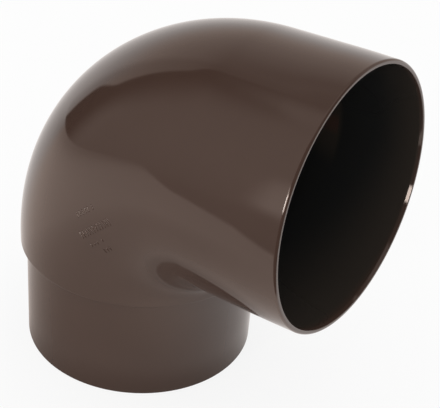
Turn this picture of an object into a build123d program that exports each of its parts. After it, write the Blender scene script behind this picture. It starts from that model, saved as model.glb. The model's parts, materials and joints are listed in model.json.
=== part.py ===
"""A rainwater pipe bend, moulded in one piece: a spigot below, a tight bend and a socket.

Origin at the centre of the spigot's end, +Z up along the spigot, the socket's mouth towards +X.
All lengths are in millimetres and all angles in degrees.
"""
from build123d import *
import os

# Driving dimensions
pipe_diameter = 100.0         # outside diameter of the downpipe, and of the spigot
pipe_clearance = 0.2          # gap all round a downpipe that stands in the socket
wall = 2.4                    # thickness of the moulding
rim_wall = 2.0                # thickness that it tapers to at the socket's mouth
rim_taper_length = 20.0       # how far back from the mouth the outside tapers
bend_angle = 87.5             # how far the pipe line turns
throat_radius = 1.8           # radius of the outer skin in the crook of the bend
spigot_length = 47.0          # straight spigot below the shoulder
socket_length = 45.0          # straight socket beyond the bend
mouth_outer_round = 0.8       # round on the outer edge of the socket's mouth
lead_in_length = 2.2          # bevel inside the mouth, along the pipe line
lead_in_depth = 0.25          # and into the wall
spigot_end_round = 0.5        # round on the outer edge of the spigot's end
shoulder_edge_round = 0.3     # round on the outer edge of the shoulder

# Sizes that follow from them
spigot_radius = pipe_diameter / 2
spigot_bore_radius = spigot_radius - wall
socket_bore_radius = spigot_radius + pipe_clearance
body_radius = socket_bore_radius + wall
rim_radius = socket_bore_radius + rim_wall
bend_radius = body_radius + throat_radius
bend_start = spigot_length + wall

# The pipe line: up through the spigot and shoulder, round the bend and out of the socket
with BuildLine(Plane.XZ) as pipe_line:
    rise = Line((0, 0), (0, bend_start))
    turn = CenterArc((bend_radius, bend_start), bend_radius, 180, -bend_angle)
    run = Line(turn @ 1, turn @ 1 + (turn % 1) * socket_length)

bend_axis = Axis((bend_radius, 0, bend_start), (0, 1, 0))
socket_axis = Axis(run @ 0, run % 0)
socket_section_plane = Plane(origin=run @ 0, x_dir=run % 0, z_dir=(0, -1, 0))

with BuildPart() as pipe_bend:
    # Spigot, a plain tube that enters the next socket or downpipe below
    with BuildSketch(Plane.XY):
        Circle(spigot_radius)
        Circle(spigot_bore_radius, mode=Mode.SUBTRACT)
    extrude(amount=spigot_length)

    # Shoulder, one wall thick, that steps out from the spigot to the wider body
    with BuildSketch(Plane.XY.offset(spigot_length)):
        Circle(body_radius)
        Circle(spigot_bore_radius, mode=Mode.SUBTRACT)
    extrude(amount=wall)

    # Bend, the body's ring turned about the axis in its crook
    with BuildSketch(Plane.XY.offset(bend_start)):
        Circle(body_radius)
        Circle(socket_bore_radius, mode=Mode.SUBTRACT)
    revolve(axis=bend_axis, revolution_arc=bend_angle)

    # Socket, a straight bore that takes the downpipe above. Its wall thins towards the mouth, which
    # is rounded outside and bevelled inside to lead the downpipe in.
    with BuildSketch(socket_section_plane) as socket_section:
        with BuildLine():
            Polyline(
                (0, socket_bore_radius),
                (0, body_radius),
                (socket_length - rim_taper_length, body_radius),
                (socket_length, rim_radius),
                (socket_length, socket_bore_radius + lead_in_depth),
                (socket_length - lead_in_length, socket_bore_radius),
                close=True,
            )
        make_face()
        rim_corners = socket_section.vertices().group_by(Axis.X)[-1].sort_by(Axis.Y)
        fillet(rim_corners[-1], mouth_outer_round)
    revolve(axis=socket_axis)

    # Spigot's end, rounded outside so that it slides in
    end_edges = pipe_bend.edges().filter_by(GeomType.CIRCLE).group_by(Axis.Z)[0]
    fillet(end_edges.sort_by(SortBy.RADIUS)[-1], spigot_end_round)

    # Shoulder's outer edge, barely broken
    shoulder_edges = pipe_bend.edges().filter_by(GeomType.CIRCLE).filter_by_position(
        Axis.Z, spigot_length, spigot_length)
    fillet(shoulder_edges.sort_by(SortBy.RADIUS)[-1], shoulder_edge_round)

pipe_bend.part.label = "pipe_bend"

os.makedirs("parts", exist_ok=True)
export_step(pipe_bend.part, "parts/pipe_bend.step")

print("bend centre line radius", round(bend_radius, 3))
print("mouth centre", run @ 1)
print("volume cm3", round(pipe_bend.part.volume / 1000, 2))
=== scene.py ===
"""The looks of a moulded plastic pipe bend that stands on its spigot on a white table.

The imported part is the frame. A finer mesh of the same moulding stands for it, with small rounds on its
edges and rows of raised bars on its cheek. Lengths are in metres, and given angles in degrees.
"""
import json
import math
from functools import reduce

import bpy
from mathutils import Matrix, Vector


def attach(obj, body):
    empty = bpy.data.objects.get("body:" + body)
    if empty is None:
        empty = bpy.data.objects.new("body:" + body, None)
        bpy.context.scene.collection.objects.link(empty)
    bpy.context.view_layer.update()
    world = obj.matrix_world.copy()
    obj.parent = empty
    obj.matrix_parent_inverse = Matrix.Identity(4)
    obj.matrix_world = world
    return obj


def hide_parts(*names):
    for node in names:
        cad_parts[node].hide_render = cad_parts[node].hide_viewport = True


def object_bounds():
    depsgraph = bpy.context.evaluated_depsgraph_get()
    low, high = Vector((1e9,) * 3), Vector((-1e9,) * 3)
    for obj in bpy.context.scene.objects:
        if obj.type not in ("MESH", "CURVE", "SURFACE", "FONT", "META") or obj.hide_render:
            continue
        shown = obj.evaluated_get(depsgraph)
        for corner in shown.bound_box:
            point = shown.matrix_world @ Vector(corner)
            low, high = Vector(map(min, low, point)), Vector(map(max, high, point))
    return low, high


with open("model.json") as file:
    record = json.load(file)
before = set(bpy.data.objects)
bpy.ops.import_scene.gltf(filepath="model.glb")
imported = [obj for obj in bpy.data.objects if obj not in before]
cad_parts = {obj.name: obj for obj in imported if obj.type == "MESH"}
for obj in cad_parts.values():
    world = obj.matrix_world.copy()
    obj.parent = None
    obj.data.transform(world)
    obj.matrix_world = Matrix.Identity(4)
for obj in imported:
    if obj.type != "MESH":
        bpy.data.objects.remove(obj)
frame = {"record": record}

MM = 0.001

cad_low, cad_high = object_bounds()
mounts = {mount["name"]: mount for mount in frame["record"]["mounts"]}

# Sizes that the frame gives
body_radius = cad_high.y
spigot_radius = mounts["spigot"]["dims"]["r_mm"] * MM
socket_bore_radius = mounts["socket"]["dims"]["r_mm"] * MM
socket_point = Vector(mounts["socket"]["pos_m"])
socket_axis = Vector(mounts["socket"]["axis"]).normalized()
wall = body_radius - socket_bore_radius
spigot_bore_radius = spigot_radius - wall

# The pipe line, as lengths from the spigot's end. The bend's radius is the one with which the socket's
# straight runs through the socket's mount.
spigot_length = 47.0 * MM
socket_length = 45.0 * MM
bend_start = spigot_length + wall
bend_radians = math.atan2(socket_axis.x, socket_axis.z)
bend_radius = (
    (socket_point.z - bend_start) * socket_axis.x - socket_point.x * socket_axis.z
) / (1 - socket_axis.z)
bend_axis_point = Vector((bend_radius, 0, bend_start))
bend_end = bend_start + bend_radius * bend_radians
mouth = bend_end + socket_length

# Edges of the moulding. Outside, the wall tapers towards the mouth, and inside it has a bevel there.
rim_radius = socket_bore_radius + 2.1 * MM
rim_taper_length = 12 * MM
rim_taper_round = 480 * MM
mouth_outer_round = 1.0 * MM
lead_in_length = 1.6 * MM
lead_in_depth = 0.37 * MM
lead_in_round = 3.0 * MM
shoulder_edge_round = 0.7 * MM
spigot_end_round = 0.5 * MM
broken_edge = 0.3 * MM

# Raised bars on the front cheek, in four rows, laid out in the moulding's own middle plane. A row is
# its place across the rows, its bars' places along it and their length, all in millimetres. The bars
# lie across their row.
marks_centre = Vector((18.5 * MM, 0, 83.9 * MM))
marks_turn = 42
mark_rows = (
    (-7.0, (-5.6, -3.8, -2.0, -0.2, 1.6, 4.2), 2.4),
    (0.6, (-9.6, -8.0, -6.4, -4.8, -3.2, -1.6, 0.0, 1.6, 3.2, 4.8, 6.4, 8.0), 3.4),
    (5.9, (-8.0, -6.2, -4.4, -1.2), 1.5),
    (10.0, (-4.0, -2.4, -0.8), 2.2),
)
mark_width = 0.9 * MM
mark_height = 0.2 * MM
mark_sunk = 0.3 * MM
mark_tip = 0.06               # width and height left at a bar's ends, as a share

# Fineness of the mesh
steps_round = 288             # points of each ring round the pipe
steps_bend = 90               # gaps between the rings along the bend
socket_coarseness = 4         # gap between the socket's rings, in the bend's gaps
least_ring_gap = 0.2          # least gap between a ring and a rounded edge, in the bend's gaps
steps_edge = 6                # steps of each rounded edge
steps_mark_along, steps_mark_over = 12, 8

# Plastic. In the bore its colour fades to two darker ones, a painted shade, over these lengths from the
# nearer end.
PLASTIC_COLOR = (0.055, 0.032, 0.0245, 1)
MOUTH_SHADE_COLOR, MOUTH_SHADE_FADE = (0.037, 0.030, 0.0245, 1), 2 * MM
BORE_SHADE_COLOR, BORE_SHADE_FADE = (0.0175, 0.0175, 0.017, 1), 22 * MM
PLASTIC_IOR = 1.5
TINT_SPREAD = 0.07            # the colour is uneven by this share either way
ROUGHNESS = (0.05, 0.08)      # least and most
ROUGHNESS_SPAN = (0.3, 0.7)   # values of the gloss's noise that give them
RIPPLE_DEPTH = 0.2 * MM
GRAIN_DEPTH = 0.02 * MM
BUMP_STRENGTH = 0.05

# Noises, each as its scale and its detail
TINT_NOISE, GLOSS_NOISE = (45, 3), (160, 4)
RIPPLE_NOISE, GRAIN_NOISE = (120, 2), (2500, 2)

# Painted light in the bore, where its colour fades less to the painted shade: on the socket's low side,
# and in a painted glow on the back wall between two distances from the mouth
LOW_SIDE_LIGHT_SHARE = 0.6
LOW_SIDE_REACH = 12 * MM      # from the socket back into the bend
GLOW_START, GLOW_END = 33.5 * MM, 58 * MM
GLOW_EDGE = 4 * MM
GLOW_TIGHTNESS = 10           # power of the cosine with which it falls off round the pipe

# The studio, as the gloss shows it. A heading is in degrees from the front towards the right, and a
# height in degrees from the horizon. An edge is where the light starts to change and where it stops.
# A ramp has an edge and the values before and after it. A profile is a list of (value, level) stops.
WHITE = (1, 1, 1, 1)
WARM = (1.17, 0.97, 0.86, 1)
NEUTRAL = (1.05, 0.99, 0.96, 1)
FILL_LEVEL = 0.94             # what lights the matt surfaces, the same from everywhere

# Backdrop behind and to the left, which fades upward and is neutral low down. The heading of its near
# edge changes with height, by two ramps that are added.
NEAR_EDGE_RAMPS = ((8, 18, -96.0, -89.0), (44, 52, 0.0, -5.0))
BACKDROP_NEAR_EDGE = (-2, 1)
BACKDROP_FAR_EDGE = (125, 150)
BACKDROP_RAMP = (-107, -99, 1.0, 0.72)
BACKDROP_BY_HEIGHT = (
    (-10, 0.97), (3, 0.97), (14, 0.85), (30, 0.68), (40, 0.60), (48, 0.47), (56, 0.24), (61, 0.06),
)
NEUTRAL_HEADING_EDGE, NEUTRAL_HEIGHT_EDGE = (-100, -90), (8, 28)

# Grey room in front and to the left, whose left side is softer higher up, and the ceiling over it
ROOM_LEFT_START = -85
ROOM_LEFT_WIDTH_RAMP = (8, 46, 16.0, 35.0)
ROOM_RAMP = (-70, -33, 0.77, 1.02)
ROOM_RIGHT_EDGE = (-10, 10)
ROOM_BY_HEIGHT = ((-30, 0.30), (-8, 0.38), (-2, 0.47), (6, 0.53), (16, 0.58), (50, 0.62))
CEILING_EDGE = (54, 60)
CEILING_RAMP = (-97, -70, 0.2, 0.6)

# Bright window in front and to the right, low down, and the glow beside it
WINDOW_LEVEL = 13.0
WINDOW_LEFT_EDGE, WINDOW_RIGHT_EDGE = (-14, -8), (26, 32)
WINDOW_BOTTOM_EDGE = (3, 7)
WINDOW_TOP_RAMP = (-6, 4, 25.0, 20.0)     # height of its top, by heading
WINDOW_TOP_EDGE = (0, 3)                  # in degrees under its top
HALO_LEVEL = 0.8
HALO_LEFT_EDGE = (-29.5, -24)
HALO_BOTTOM_EDGE, HALO_TOP_EDGE = (-6, 4), (19, 29)

# Table, which the gloss sees with a front and a left edge. It is dim in an oval shade beside the
# moulding, round the spigot and far to the left, dark under the spigot, and brighter to the right.
TABLE_HALF = 3.0
TABLE_COLOR = (0.92, 0.92, 0.92, 1)
TABLE_EVEN_SHARE = 0.85       # share of the camera's view of it that takes no shadow
TABLE_FRONT_HEADING = 46
TABLE_FRONT_EDGE = (0.155, 0.171)
TABLE_LEFT_EDGE = (-1.35, -1.25)
FLOOR_BY_DISTANCE = (
    (0.0, 0.42), (0.035, 0.57), (0.06, 0.66), (0.08, 0.78), (0.1, 0.91), (0.14, 0.96), (0.2, 0.97),
)
SHADE_CENTRE = Vector((-0.018, -0.061, 0))
SHADE_HEADING, SHADE_STRETCH = -40, 1.35
CONTACT_CENTRE = Vector((0.0077, -0.0092, 0))
CONTACT_RAMP = (-9 * MM, 8 * MM, 0.62, 1.0)
LEFT_DIMMING_RAMP = (-1.1, -0.2, -0.45, 0.0)
LEFT_DIMMING_EDGE = (-0.1, 0.25)
RIGHT_GAIN_RAMP = (0.04, 0.12, 1.0, 1.2)
TABLE_NEUTRAL_EDGE = (-0.09, 0.035)

# Lamp in front
LAMP_PLACE = Vector((-0.104, -1.406, 0.400))
LAMP_SIZE = (0.14, 0.28)
LAMP_POWER = 3.1

# Camera, by its direction from the point that it looks at
CAMERA_HEADING, CAMERA_HEIGHT, CAMERA_ROLL = 33.81, 31.62, 5.30
CAMERA_DISTANCE = 0.41200
CAMERA_TARGET = Vector((0.03818, 0, 0.07880))
CAMERA_CLIP_START = 0.01
FOCAL_PIXELS, PICTURE_WIDTH_PIXELS = 1027.6, 440
SENSOR_WIDTH_MM = 36


def clamped(value):
    return min(max(value, 0.0), 1.0)


def along_pipe(distance):
    """Centre and direction of the pipe line at a distance, and the normal away from the bend's axis."""
    turned = min(max((distance - bend_start) / bend_radius, 0), bend_radians)
    heading = Vector((math.sin(turned), 0, math.cos(turned)))
    outward = Vector((-math.cos(turned), 0, math.sin(turned)))
    straight = min(distance - bend_start, 0) + max(distance - bend_end, 0)
    return bend_axis_point + bend_radius * outward + straight * heading, heading, outward


def rounded_corner(before, corner, after, radius):
    """Points of an arc that rounds a corner of the section, each with the arc's own normal."""
    back = (before - corner).normalized()
    ahead = (after - corner).normalized()
    turn = math.pi - back.angle(ahead)
    side = 1 if back.cross(ahead) > 0 else -1
    centre = corner + (back + ahead).normalized() * radius / math.cos(turn / 2)
    start = corner + back * radius * math.tan(turn / 2) - centre
    points = []
    for step in range(steps_edge + 1):
        arm = Matrix.Rotation(-side * turn * step / steps_edge, 2) @ start
        points.append((centre + arm, arm.normalized() * side))
    return points


def wall_section():
    """The wall's outline as (distance along the pipe, radius), each point with its outward normal."""
    corners = [
        (0, spigot_radius, spigot_end_round),
        (spigot_length, spigot_radius, broken_edge),
        (spigot_length, body_radius, shoulder_edge_round),
        (mouth - rim_taper_length, body_radius, rim_taper_round),
        (mouth, rim_radius, mouth_outer_round),
        (mouth, socket_bore_radius + lead_in_depth, broken_edge),
        (mouth - lead_in_length, socket_bore_radius, lead_in_round),
        (bend_start, socket_bore_radius, broken_edge),
        (bend_start, spigot_bore_radius, broken_edge),
        (0, spigot_bore_radius, broken_edge),
    ]
    outline = []
    for i, (distance, radius, edge_round) in enumerate(corners):
        before = Vector(corners[i - 1][:2])
        after = Vector(corners[(i + 1) % len(corners)][:2])
        outline += rounded_corner(before, Vector((distance, radius)), after, edge_round)
    return outline


def filled_in(outline):
    """The outline with more points on its straights, where they follow the bend and the socket."""
    gap = (bend_end - bend_start) / steps_bend
    socket_gap = gap * socket_coarseness
    margin = gap * least_ring_gap
    places = [bend_start + gap * k for k in range(steps_bend + 1)]
    places += [bend_end + socket_gap * (k + 1) for k in range(int(socket_length / socket_gap))]
    points = []
    for i, (here, normal) in enumerate(outline):
        points.append((here, normal))
        there = outline[(i + 1) % len(outline)][0]
        if abs(there.x - here.x) > socket_gap:
            low, high = sorted((here.x, there.x))
            stops = [x for x in places if low + margin < x < high - margin]
            stops.sort(reverse=there.x < here.x)
            points += [(here.lerp(there, (x - here.x) / (there.x - here.x)), normal) for x in stops]
    return points


def painted_shade_depth(spot, normal, radial):
    """The depth from the nearer end that sets a point's painted shade in the bore. It is less on the
    socket's low side and in a glow on the back wall, which are painted light. It is zero outside the
    bore.
    """
    faces_inward = normal.y < -0.5
    if not faces_inward:
        return 0.0
    from_mouth = mouth - spot.x
    in_socket = clamped((spot.x - bend_end) / LOW_SIDE_REACH + 1)
    # Painted light: the socket's low side and a glow on the back wall lose some of the painted shade
    low_side_light = LOW_SIDE_LIGHT_SHARE * in_socket * max(0.0, -radial.z)
    in_glow = clamped(min(from_mouth - GLOW_START, GLOW_END - from_mouth) / GLOW_EDGE)
    glow = in_glow * max(0.0, radial.y) ** GLOW_TIGHTNESS
    return min(spot.x, from_mouth) * (1 - max(low_side_light, glow))


def band(first, second, count):
    """Faces between two closed rings of points, each given by the number of its first point."""
    return [
        (first + k, first + (k + 1) % count, second + (k + 1) % count, second + k)
        for k in range(count)
    ]


def mesh_object(name, vertices, faces):
    mesh = bpy.data.meshes.new(name)
    mesh.from_pydata(vertices, [], faces)
    mesh.polygons.foreach_set("use_smooth", [True] * len(faces))
    piece = bpy.data.objects.new(name, mesh)
    bpy.context.scene.collection.objects.link(piece)
    return piece


def moulding():
    """The bend as one closed skin: the wall's outline carried round the pipe line."""
    outline = filled_in(wall_section())
    vertices, normals, shade_depths = [], [], []
    for spot, normal in outline:
        centre, heading, outward = along_pipe(spot.x)
        for k in range(steps_round):
            around = 2 * math.pi * k / steps_round
            radial = Vector((0, math.cos(around), 0)) + math.sin(around) * outward
            vertices.append(centre + spot.y * radial)
            normals.append((normal.x * heading + normal.y * radial).normalized())
            shade_depths.append(painted_shade_depth(spot, normal, radial))
    faces = []
    for i in range(len(outline)):
        faces += band(i * steps_round, (i + 1) % len(outline) * steps_round, steps_round)
    piece = mesh_object("bend_moulding", vertices, faces)
    piece.data.normals_split_custom_set_from_vertices(normals)
    # Each point keeps the depth that sets the bore's painted shade
    piece.data.attributes.new("painted_bore_shade", "FLOAT", "POINT").data.foreach_set("value", shade_depths)
    return piece


def on_cheek(x, z, proud):
    """A point over the bend's front cheek, so far proud of the skin."""
    from_axis = Vector((x, 0, z)) - bend_axis_point
    outward = from_axis.normalized()
    aside = from_axis.length - bend_radius
    towards_front = math.sqrt(body_radius ** 2 - aside ** 2)
    normal = (aside * outward - Vector((0, towards_front, 0))) / body_radius
    return bend_axis_point + bend_radius * outward + normal * (body_radius + proud)


def mark_rings(centre, along, across, length):
    """Rings of points round one rounded bar, from end to end. Each ring starts and ends in the skin."""
    angles = [math.pi * k / steps_mark_over for k in range(steps_mark_over + 1)]
    rings = []
    for i in range(steps_mark_along + 1):
        reach = -math.cos(math.pi * i / steps_mark_along)
        past_straight = max(0.0, abs(reach) * length - (length - mark_width)) / mark_width
        share = max(mark_tip, math.sqrt(max(0.0, 1 - past_straight ** 2)))
        arch = [(-math.cos(angle), math.sin(angle) * share * mark_height) for angle in angles]
        ring = []
        for side, proud in [(-1, -mark_sunk), *arch, (1, -mark_sunk)]:
            spot = centre + side * share * mark_width / 2 * along + reach * length / 2 * across
            ring.append(on_cheek(spot.x, spot.z, proud))
        rings.append(ring)
    return rings


def raised_marks():
    """The rows of small bars on the cheek, each a closed solid sunk into the skin."""
    turn = math.radians(marks_turn)
    along = Vector((math.cos(turn), 0, math.sin(turn)))
    across = Vector((math.sin(turn), 0, -math.cos(turn)))
    vertices, faces = [], []
    for row, places, length in mark_rows:
        for place in places:
            centre = marks_centre + place * MM * along + row * MM * across
            rings = mark_rings(centre, along, across, length * MM)
            count = len(rings[0])
            starts = [len(vertices) + i * count for i in range(len(rings))]
            vertices += [point for ring in rings for point in ring]
            for first, second in zip(starts, starts[1:]):
                faces += band(first, second, count)
            faces.append(tuple(reversed(range(starts[0], starts[0] + count))))
            faces.append(tuple(range(starts[-1], starts[-1] + count)))
    return mesh_object("raised_marks", vertices, faces)


def feed(tree, value, socket):
    """Links another node's output to the socket, or sets the socket to a number or a colour."""
    if isinstance(value, bpy.types.NodeSocket):
        tree.links.new(value, socket)
    else:
        socket.default_value = value


def math_node(tree, operation, *values):
    node = tree.nodes.new("ShaderNodeMath")
    node.operation = operation
    for value, socket in zip(values, node.inputs):
        feed(tree, value, socket)
    return node.outputs[0]


def plus(tree, *values):
    return reduce(lambda total, value: math_node(tree, "ADD", total, value), values)


def times(tree, *values):
    return reduce(lambda total, value: math_node(tree, "MULTIPLY", total, value), values)


def measured(tree, operation, place, vector):
    """A Vector Math node's number, such as the distance of a place from a point."""
    node = tree.nodes.new("ShaderNodeVectorMath")
    node.operation = operation
    feed(tree, place, node.inputs[0])
    feed(tree, vector, node.inputs[1])
    return node.outputs["Value"]


def smooth_step(tree, value, start, end, low=0.0, high=1.0):
    """A Map Range node's result: low before start, high after end and smooth between them."""
    node = tree.nodes.new("ShaderNodeMapRange")
    node.interpolation_type = "SMOOTHSTEP"
    feed(tree, value, node.inputs["Value"])
    feed(tree, start, node.inputs["From Min"])
    feed(tree, end, node.inputs["From Max"])
    feed(tree, low, node.inputs["To Min"])
    feed(tree, high, node.inputs["To Max"])
    return node.outputs["Result"]


def until(tree, value, edge):
    """1 before an edge and 0 after it."""
    return smooth_step(tree, value, *edge, 1.0, 0.0)


def past(tree, value, edge):
    """0 before an edge and 1 after it."""
    return smooth_step(tree, value, *edge)


def profile(tree, value, stops):
    """A Color Ramp's result, straight between the (value, level) stops."""
    low, high = stops[0][0], stops[-1][0]
    place = tree.nodes.new("ShaderNodeMapRange")
    feed(tree, value, place.inputs["Value"])
    feed(tree, low, place.inputs["From Min"])
    feed(tree, high, place.inputs["From Max"])
    node = tree.nodes.new("ShaderNodeValToRGB")
    feed(tree, place.outputs["Result"], node.inputs["Fac"])
    elements = node.color_ramp.elements
    elements[0].position, elements[1].position = 0, 1
    elements[0].color = [stops[0][1]] * 3 + [1]
    elements[1].color = [stops[-1][1]] * 3 + [1]
    for at, level in stops[1:-1]:
        elements.new((at - low) / (high - low)).color = [level] * 3 + [1]
    return node.outputs["Color"]


def mix_colors(tree, factor, first, second):
    node = tree.nodes.new("ShaderNodeMix")
    node.data_type = "RGBA"
    feed(tree, factor, node.inputs["Factor"])
    feed(tree, first, node.inputs["A"])
    feed(tree, second, node.inputs["B"])
    return node.outputs["Result"]


def mix_shaders(tree, factor, first, second):
    node = tree.nodes.new("ShaderNodeMixShader")
    for value, socket in zip((factor, first, second), node.inputs):
        feed(tree, value, socket)
    return node.outputs[0]


def light_node(tree, kind, strength, color=WHITE):
    """A Background or Emission node's light."""
    node = tree.nodes.new(kind)
    feed(tree, strength, node.inputs["Strength"])
    feed(tree, color, node.inputs["Color"])
    return node.outputs[0]


def by_ray(tree, matt, gloss, camera):
    """One shader of three: for matt surfaces, for the gloss, and for the camera, also through glass."""
    rays = tree.nodes.new("ShaderNodeLightPath").outputs
    on_object = mix_shaders(tree, rays["Is Glossy Ray"], matt, gloss)
    seen = math_node(tree, "MAXIMUM", rays["Is Camera Ray"], rays["Is Transmission Ray"])
    return mix_shaders(tree, seen, on_object, camera)


def noise_texture(tree, scale, detail):
    """A noise in the moulding's own coordinates, centred on 0.5."""
    place = tree.nodes.new("ShaderNodeTexCoord")
    node = tree.nodes.new("ShaderNodeTexNoise")
    feed(tree, scale, node.inputs["Scale"])
    feed(tree, detail, node.inputs["Detail"])
    feed(tree, place.outputs["Object"], node.inputs["Vector"])
    return node.outputs["Fac"]


def brown_plastic():
    """Dark brown rigid plastic: a smooth skin with a faint moulded ripple and slightly uneven gloss. In
    the bore its colour darkens and greys, a painted shade.
    """
    material = bpy.data.materials.new("brown_plastic")
    material.use_nodes = True
    tree = material.node_tree
    shader = tree.nodes["Principled BSDF"]
    feed(tree, PLASTIC_IOR, shader.inputs["IOR"])

    tints = [
        [share * c for c in PLASTIC_COLOR[:3]] + [1]
        for share in (1 - TINT_SPREAD, 1 + TINT_SPREAD)
    ]
    color = mix_colors(tree, noise_texture(tree, *TINT_NOISE), *tints)
    # The bore's darker, greyer colours are painted shade, set by the depth that the moulding stores on
    # its points
    depth = tree.nodes.new("ShaderNodeAttribute")
    depth.attribute_name = "painted_bore_shade"
    for shade_color, fade in ((MOUTH_SHADE_COLOR, MOUTH_SHADE_FADE), (BORE_SHADE_COLOR, BORE_SHADE_FADE)):
        color = mix_colors(tree, smooth_step(tree, depth.outputs["Fac"], 0, fade), color, shade_color)
    feed(tree, color, shader.inputs["Base Color"])

    gloss_noise = noise_texture(tree, *GLOSS_NOISE)
    roughness = smooth_step(tree, gloss_noise, *ROUGHNESS_SPAN, *ROUGHNESS)
    feed(tree, roughness, shader.inputs["Roughness"])

    normal_input = shader.inputs["Normal"]
    for noise, bump_depth in ((GRAIN_NOISE, GRAIN_DEPTH), (RIPPLE_NOISE, RIPPLE_DEPTH)):
        bump = tree.nodes.new("ShaderNodeBump")
        feed(tree, BUMP_STRENGTH, bump.inputs["Strength"])
        feed(tree, bump_depth, bump.inputs["Distance"])
        feed(tree, noise_texture(tree, *noise), bump.inputs["Height"])
        feed(tree, bump.outputs["Normal"], normal_input)
        normal_input = bump.inputs["Normal"]
    return material


def studio_light(tree):
    """The studio by direction, as a strength and a colour."""
    split = tree.nodes.new("ShaderNodeSeparateXYZ")
    feed(tree, tree.nodes.new("ShaderNodeTexCoord").outputs["Generated"], split.inputs[0])
    x, y, z = split.outputs
    heading = math_node(tree, "DEGREES", math_node(tree, "ARCTAN2", x, times(tree, y, -1.0)))
    height = math_node(tree, "DEGREES", math_node(tree, "ARCSINE", z))

    edge_heading = plus(tree, *(smooth_step(tree, height, *ramp) for ramp in NEAR_EDGE_RAMPS))
    past_edge = math_node(tree, "SUBTRACT", heading, edge_heading)
    backdrop = times(
        tree,
        plus(tree, until(tree, past_edge, BACKDROP_NEAR_EDGE), past(tree, heading, BACKDROP_FAR_EDGE)),
        smooth_step(tree, heading, *BACKDROP_RAMP),
        profile(tree, height, BACKDROP_BY_HEIGHT),
    )

    into_room = math_node(
        tree, "DIVIDE",
        plus(tree, heading, -ROOM_LEFT_START),
        smooth_step(tree, height, *ROOM_LEFT_WIDTH_RAMP),
    )
    room = times(
        tree,
        past(tree, into_room, (0, 1)),
        smooth_step(tree, heading, *ROOM_RAMP),
        until(tree, heading, ROOM_RIGHT_EDGE),
        profile(tree, height, ROOM_BY_HEIGHT),
        until(tree, height, CEILING_EDGE),
    )
    ceiling = times(
        tree,
        past(tree, height, CEILING_EDGE),
        smooth_step(tree, heading, *CEILING_RAMP),
    )

    under_top = math_node(tree, "SUBTRACT", smooth_step(tree, heading, *WINDOW_TOP_RAMP), height)
    window = times(
        tree,
        WINDOW_LEVEL,
        past(tree, heading, WINDOW_LEFT_EDGE),
        until(tree, heading, WINDOW_RIGHT_EDGE),
        past(tree, height, WINDOW_BOTTOM_EDGE),
        past(tree, under_top, WINDOW_TOP_EDGE),
    )
    halo = times(
        tree,
        HALO_LEVEL,
        past(tree, heading, HALO_LEFT_EDGE),
        until(tree, heading, WINDOW_LEFT_EDGE),
        past(tree, height, HALO_BOTTOM_EDGE),
        until(tree, height, HALO_TOP_EDGE),
    )

    neutral = times(
        tree,
        until(tree, heading, NEUTRAL_HEADING_EDGE),
        until(tree, height, NEUTRAL_HEIGHT_EDGE),
    )
    strength = plus(tree, backdrop, room, ceiling, window, halo)
    return strength, mix_colors(tree, neutral, WARM, NEUTRAL)


def studio_world():
    """White to the camera and even to the matt surfaces. The gloss shows the studio."""
    world = bpy.data.worlds.new("studio")
    bpy.context.scene.world = world
    world.use_nodes = True
    tree = world.node_tree
    tree.nodes.clear()
    even = light_node(tree, "ShaderNodeBackground", FILL_LEVEL)
    studio = light_node(tree, "ShaderNodeBackground", *studio_light(tree))
    white = light_node(tree, "ShaderNodeBackground", 1.0)
    end = tree.nodes.new("ShaderNodeOutputWorld")
    feed(tree, by_ray(tree, even, studio, white), end.inputs["Surface"])


def table_light(tree, place, x, y):
    """The table as the gloss shows it, as a strength and a colour."""
    turn = math.radians(SHADE_HEADING)
    lengthwise = Vector((math.sin(turn), -math.cos(turn), 0)) / SHADE_STRETCH
    crosswise = Vector((math.cos(turn), math.sin(turn), 0))
    squares = []
    for side in (lengthwise, crosswise):
        from_centre = plus(tree, measured(tree, "DOT_PRODUCT", place, side), -side.dot(SHADE_CENTRE))
        squares.append(times(tree, from_centre, from_centre))
    from_shade = math_node(tree, "SQRT", plus(tree, *squares))

    past_contact = plus(tree, measured(tree, "DISTANCE", place, CONTACT_CENTRE), -spigot_radius)
    from_middle = measured(tree, "DISTANCE", place, Vector())
    left_dimming = times(
        tree,
        smooth_step(tree, x, *LEFT_DIMMING_RAMP),
        until(tree, y, LEFT_DIMMING_EDGE),
    )
    strength = times(
        tree,
        profile(tree, from_shade, FLOOR_BY_DISTANCE),
        smooth_step(tree, past_contact, *CONTACT_RAMP),
        past(tree, from_middle, (spigot_bore_radius, spigot_radius)),
        plus(tree, 1.0, left_dimming),
        smooth_step(tree, x, *RIGHT_GAIN_RAMP),
    )
    return strength, mix_colors(tree, past(tree, y, TABLE_NEUTRAL_EDGE), WARM, NEUTRAL)


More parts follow.
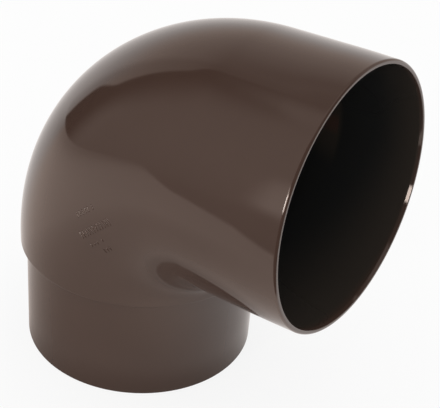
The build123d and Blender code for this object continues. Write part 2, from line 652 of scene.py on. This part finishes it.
def white_table():
    """The floor: white all over to the camera, a table with two edges to the gloss."""
    corners = [(x * TABLE_HALF, y * TABLE_HALF, 0) for x, y in ((-1, -1), (1, -1), (1, 1), (-1, 1))]
    table = mesh_object("table", corners, [(0, 1, 2, 3)])
    material = bpy.data.materials.new("white_table")
    material.use_nodes = True
    tree = material.node_tree
    tree.nodes.clear()
    place = tree.nodes.new("ShaderNodeTexCoord").outputs["Object"]
    split = tree.nodes.new("ShaderNodeSeparateXYZ")
    feed(tree, place, split.inputs[0])
    x, y = split.outputs["X"], split.outputs["Y"]

    top = tree.nodes.new("ShaderNodeBsdfDiffuse")
    feed(tree, TABLE_COLOR, top.inputs["Color"])
    matt = top.outputs[0]
    glow = light_node(tree, "ShaderNodeEmission", 1.0)
    card = light_node(tree, "ShaderNodeEmission", *table_light(tree, place, x, y))
    gap = tree.nodes.new("ShaderNodeBsdfTransparent").outputs[0]

    front = math.radians(TABLE_FRONT_HEADING)
    forward = measured(tree, "DOT_PRODUCT", place, Vector((math.sin(front), -math.cos(front), 0)))
    on_table = times(tree, until(tree, forward, TABLE_FRONT_EDGE), past(tree, x, TABLE_LEFT_EDGE))
    in_gloss = mix_shaders(tree, on_table, gap, card)
    to_camera = mix_shaders(tree, TABLE_EVEN_SHARE, matt, glow)
    end = tree.nodes.new("ShaderNodeOutputMaterial")
    feed(tree, by_ray(tree, matt, in_gloss, to_camera), end.inputs["Surface"])
    table.data.materials.append(material)


def compact_lamp():
    """The bright lamp in front, which draws the highlights on the mouth's edges."""
    data = bpy.data.lights.new("compact_lamp", "AREA")
    data.shape = "RECTANGLE"
    data.size, data.size_y = LAMP_SIZE
    data.energy = LAMP_POWER
    lamp = bpy.data.objects.new("compact_lamp", data)
    lamp.location = LAMP_PLACE
    lamp.rotation_mode = "QUATERNION"
    lamp.rotation_quaternion = (socket_point - LAMP_PLACE).to_track_quat("-Z", "Y")
    lamp.visible_camera = False
    bpy.context.scene.collection.objects.link(lamp)


def photo_camera():
    """The camera, placed by its heading, height, roll and distance from the point that it looks at."""
    heading, height, roll = (math.radians(a) for a in (CAMERA_HEADING, CAMERA_HEIGHT, CAMERA_ROLL))
    back = Vector((
        math.sin(heading) * math.cos(height),
        -math.cos(heading) * math.cos(height),
        math.sin(height),
    ))
    level = Vector((math.cos(heading), math.sin(heading), 0))
    right = math.cos(roll) * level + math.sin(roll) * back.cross(level)
    up = back.cross(right)
    data = bpy.data.cameras.new("photo_camera")
    data.sensor_width = SENSOR_WIDTH_MM
    data.lens = FOCAL_PIXELS * SENSOR_WIDTH_MM / PICTURE_WIDTH_PIXELS
    data.clip_start = CAMERA_CLIP_START
    camera = bpy.data.objects.new("photo_camera", data)
    turned = Matrix((right, up, back)).transposed().to_4x4()
    camera.matrix_world = Matrix.Translation(CAMERA_TARGET + back * CAMERA_DISTANCE) @ turned
    bpy.context.scene.collection.objects.link(camera)
    bpy.context.scene.camera = camera


photo_camera()
studio_world()
white_table()
compact_lamp()

plastic = brown_plastic()
bend = moulding()
bend.data.materials.append(plastic)
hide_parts("pipe_bend")
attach(bend, "root")

marks = raised_marks()
marks.data.materials.append(plastic)
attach(marks, "root")

bpy.context.scene.view_settings.view_transform = "Standard"
